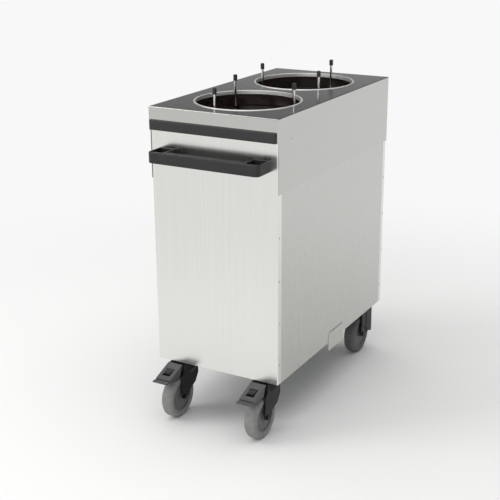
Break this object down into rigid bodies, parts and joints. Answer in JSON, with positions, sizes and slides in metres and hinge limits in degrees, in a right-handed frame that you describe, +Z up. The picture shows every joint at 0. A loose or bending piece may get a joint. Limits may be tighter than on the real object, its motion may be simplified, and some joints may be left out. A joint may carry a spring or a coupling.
{
  "type": "plate dispenser cart",
  "caption": "Mobile stainless steel plate dispenser cart with sprung plate wells, guide rods, a black front handle and braked swivel casters.",
  "frame": {"origin": "on the floor under the middle of the cart's outline", "axes": "+Z up, the front with the handle and the pedals faces -Y, +X to the right when looking at the front from -Y towards +Y"},
  "size_m": [0.391, 0.8156, 0.95],
  "materials": {
    "stainless": "brushed stainless sheet",
    "polished": "polished stainless",
    "zinc_steel": "zinc plated steel",
    "spring_steel": "drawn spring wire",
    "fastener": "satin steel",
    "black_plastic": "satin black",
    "caster_plastic": "moulded black nylon",
    "pedal_plastic": "moulded grey nylon",
    "hub_plastic": "moulded dark grey",
    "tyre_rubber": "grey non-marking rubber"
  },
  "bodies": {
    "cabinet": {"top_hood": "stainless", "bumper_strip": "black_plastic", "well_collar_front": "polished", "well_collar_rear": "polished", "well_liner_front": "stainless", "well_liner_rear": "stainless", "front_panel": "stainless", "rear_panel": "stainless", "side_panel_left": "stainless", "side_panel_right": "stainless", "base_frame": "zinc_steel", "base_deck": "stainless", "corner_posts": "zinc_steel", "sill_plate": "stainless", "panel_rivets": "fastener", "hood_screws": "fastener", "handle_bow": "black_plastic", "handle_brackets": "zinc_steel", "handle_screws": "fastener", "springs_front": "spring_steel", "springs_rear": "spring_steel", "spring_hangers": "zinc_steel", "rod_sleeves": "zinc_steel", "caster_plates": "zinc_steel", "caster_bolts": "zinc_steel", "caster_housing_left": "caster_plastic", "caster_housing_right": "caster_plastic", "rear_axles": "zinc_steel"},
    "carrier_front": {"carrier_front": "polished", "drop_frame_front": "zinc_steel"},
    "carrier_rear": {"carrier_rear": "polished", "drop_frame_rear": "zinc_steel"},
    "guide_front_1": {"guide_rod_front_1": "polished", "rod_cap_front_1": "black_plastic"},
    "guide_front_2": {"guide_rod_front_2": "polished", "rod_cap_front_2": "black_plastic"},
    "guide_front_3": {"guide_rod_front_3": "polished", "rod_cap_front_3": "black_plastic"},
    "guide_rear_1": {"guide_rod_rear_1": "polished", "rod_cap_rear_1": "black_plastic"},
    "guide_rear_2": {"guide_rod_rear_2": "polished", "rod_cap_rear_2": "black_plastic"},
    "guide_rear_3": {"guide_rod_rear_3": "polished", "rod_cap_rear_3": "black_plastic"},
    "swivel_left": {"fork_left": "caster_plastic", "front_axle_left": "zinc_steel"},
    "pedal_left": {"brake_pedal_left": "pedal_plastic"},
    "wheel_front_left": {"hub_front_left": "hub_plastic", "tyre_front_left": "tyre_rubber"},
    "wheel_rear_left": {"hub_rear_left": "hub_plastic", "tyre_rear_left": "tyre_rubber"},
    "swivel_right": {"fork_right": "caster_plastic", "front_axle_right": "zinc_steel"},
    "pedal_right": {"brake_pedal_right": "pedal_plastic"},
    "wheel_front_right": {"hub_front_right": "hub_plastic", "tyre_front_right": "tyre_rubber"},
    "wheel_rear_right": {"hub_rear_right": "hub_plastic", "tyre_rear_right": "tyre_rubber"}
  },
  "joints": [
    {"name": "carrier_front_slide", "type": "slide", "parent": "cabinet", "child": "carrier_front", "axis": [0, 0, 1], "range_m": [-0.43, 0], "stiffness_N_per_m": 650, "springref_m": 0.06, "deforming": ["springs_front"]},
    {"name": "carrier_rear_slide", "type": "slide", "parent": "cabinet", "child": "carrier_rear", "axis": [0, 0, 1], "range_m": [-0.43, 0], "stiffness_N_per_m": 650, "springref_m": 0.06, "deforming": ["springs_rear"]},
    {"name": "guide_front_1_slide", "type": "slide", "parent": "cabinet", "child": "guide_front_1", "axis": [0.247, 0.969, 0], "range_m": [0, 0.03]},
    {"name": "guide_front_2_slide", "type": "slide", "parent": "cabinet", "child": "guide_front_2", "axis": [-0.9627, -0.2706, 0], "range_m": [0, 0.03]},
    {"name": "guide_front_3_slide", "type": "slide", "parent": "cabinet", "child": "guide_front_3", "axis": [0.7157, -0.6984, 0], "range_m": [0, 0.03]},
    {"name": "guide_rear_1_slide", "type": "slide", "parent": "cabinet", "child": "guide_rear_1", "axis": [-0.247, -0.969, 0], "range_m": [0, 0.03]},
    {"name": "guide_rear_2_slide", "type": "slide", "parent": "cabinet", "child": "guide_rear_2", "axis": [0.9627, 0.2706, 0], "range_m": [0, 0.03]},
    {"name": "guide_rear_3_slide", "type": "slide", "parent": "cabinet", "child": "guide_rear_3", "axis": [-0.7157, 0.6984, 0], "range_m": [0, 0.03]},
    {"name": "swivel_left", "type": "hinge", "parent": "cabinet", "child": "swivel_left", "pos_m": [-0.1351, -0.28035, 0.1], "axis": [0, 0, 1], "continuous": true},
    {"name": "pedal_left", "type": "hinge", "parent": "swivel_left", "child": "pedal_left", "pos_m": [-0.1351, -0.30775, 0.146], "axis": [1, 0, 0], "range_deg": [0, 12]},
    {"name": "wheel_front_left", "type": "hinge", "parent": "swivel_left", "child": "wheel_front_left", "pos_m": [-0.1351, -0.31735, 0.0625], "axis": [1, 0, 0], "continuous": true},
    {"name": "wheel_rear_left", "type": "hinge", "parent": "cabinet", "child": "wheel_rear_left", "pos_m": [-0.1351, 0.34075, 0.0625], "axis": [1, 0, 0], "continuous": true},
    {"name": "swivel_right", "type": "hinge", "parent": "cabinet", "child": "swivel_right", "pos_m": [0.1351, -0.28035, 0.1], "axis": [0, 0, 1], "continuous": true},
    {"name": "pedal_right", "type": "hinge", "parent": "swivel_right", "child": "pedal_right", "pos_m": [0.1351, -0.30775, 0.146], "axis": [1, 0, 0], "range_deg": [0, 12]},
    {"name": "wheel_front_right", "type": "hinge", "parent": "swivel_right", "child": "wheel_front_right", "pos_m": [0.1351, -0.31735, 0.0625], "axis": [1, 0, 0], "continuous": true},
    {"name": "wheel_rear_right", "type": "hinge", "parent": "cabinet", "child": "wheel_rear_right", "pos_m": [0.1351, 0.34075, 0.0625], "axis": [1, 0, 0], "continuous": true}
  ]
}
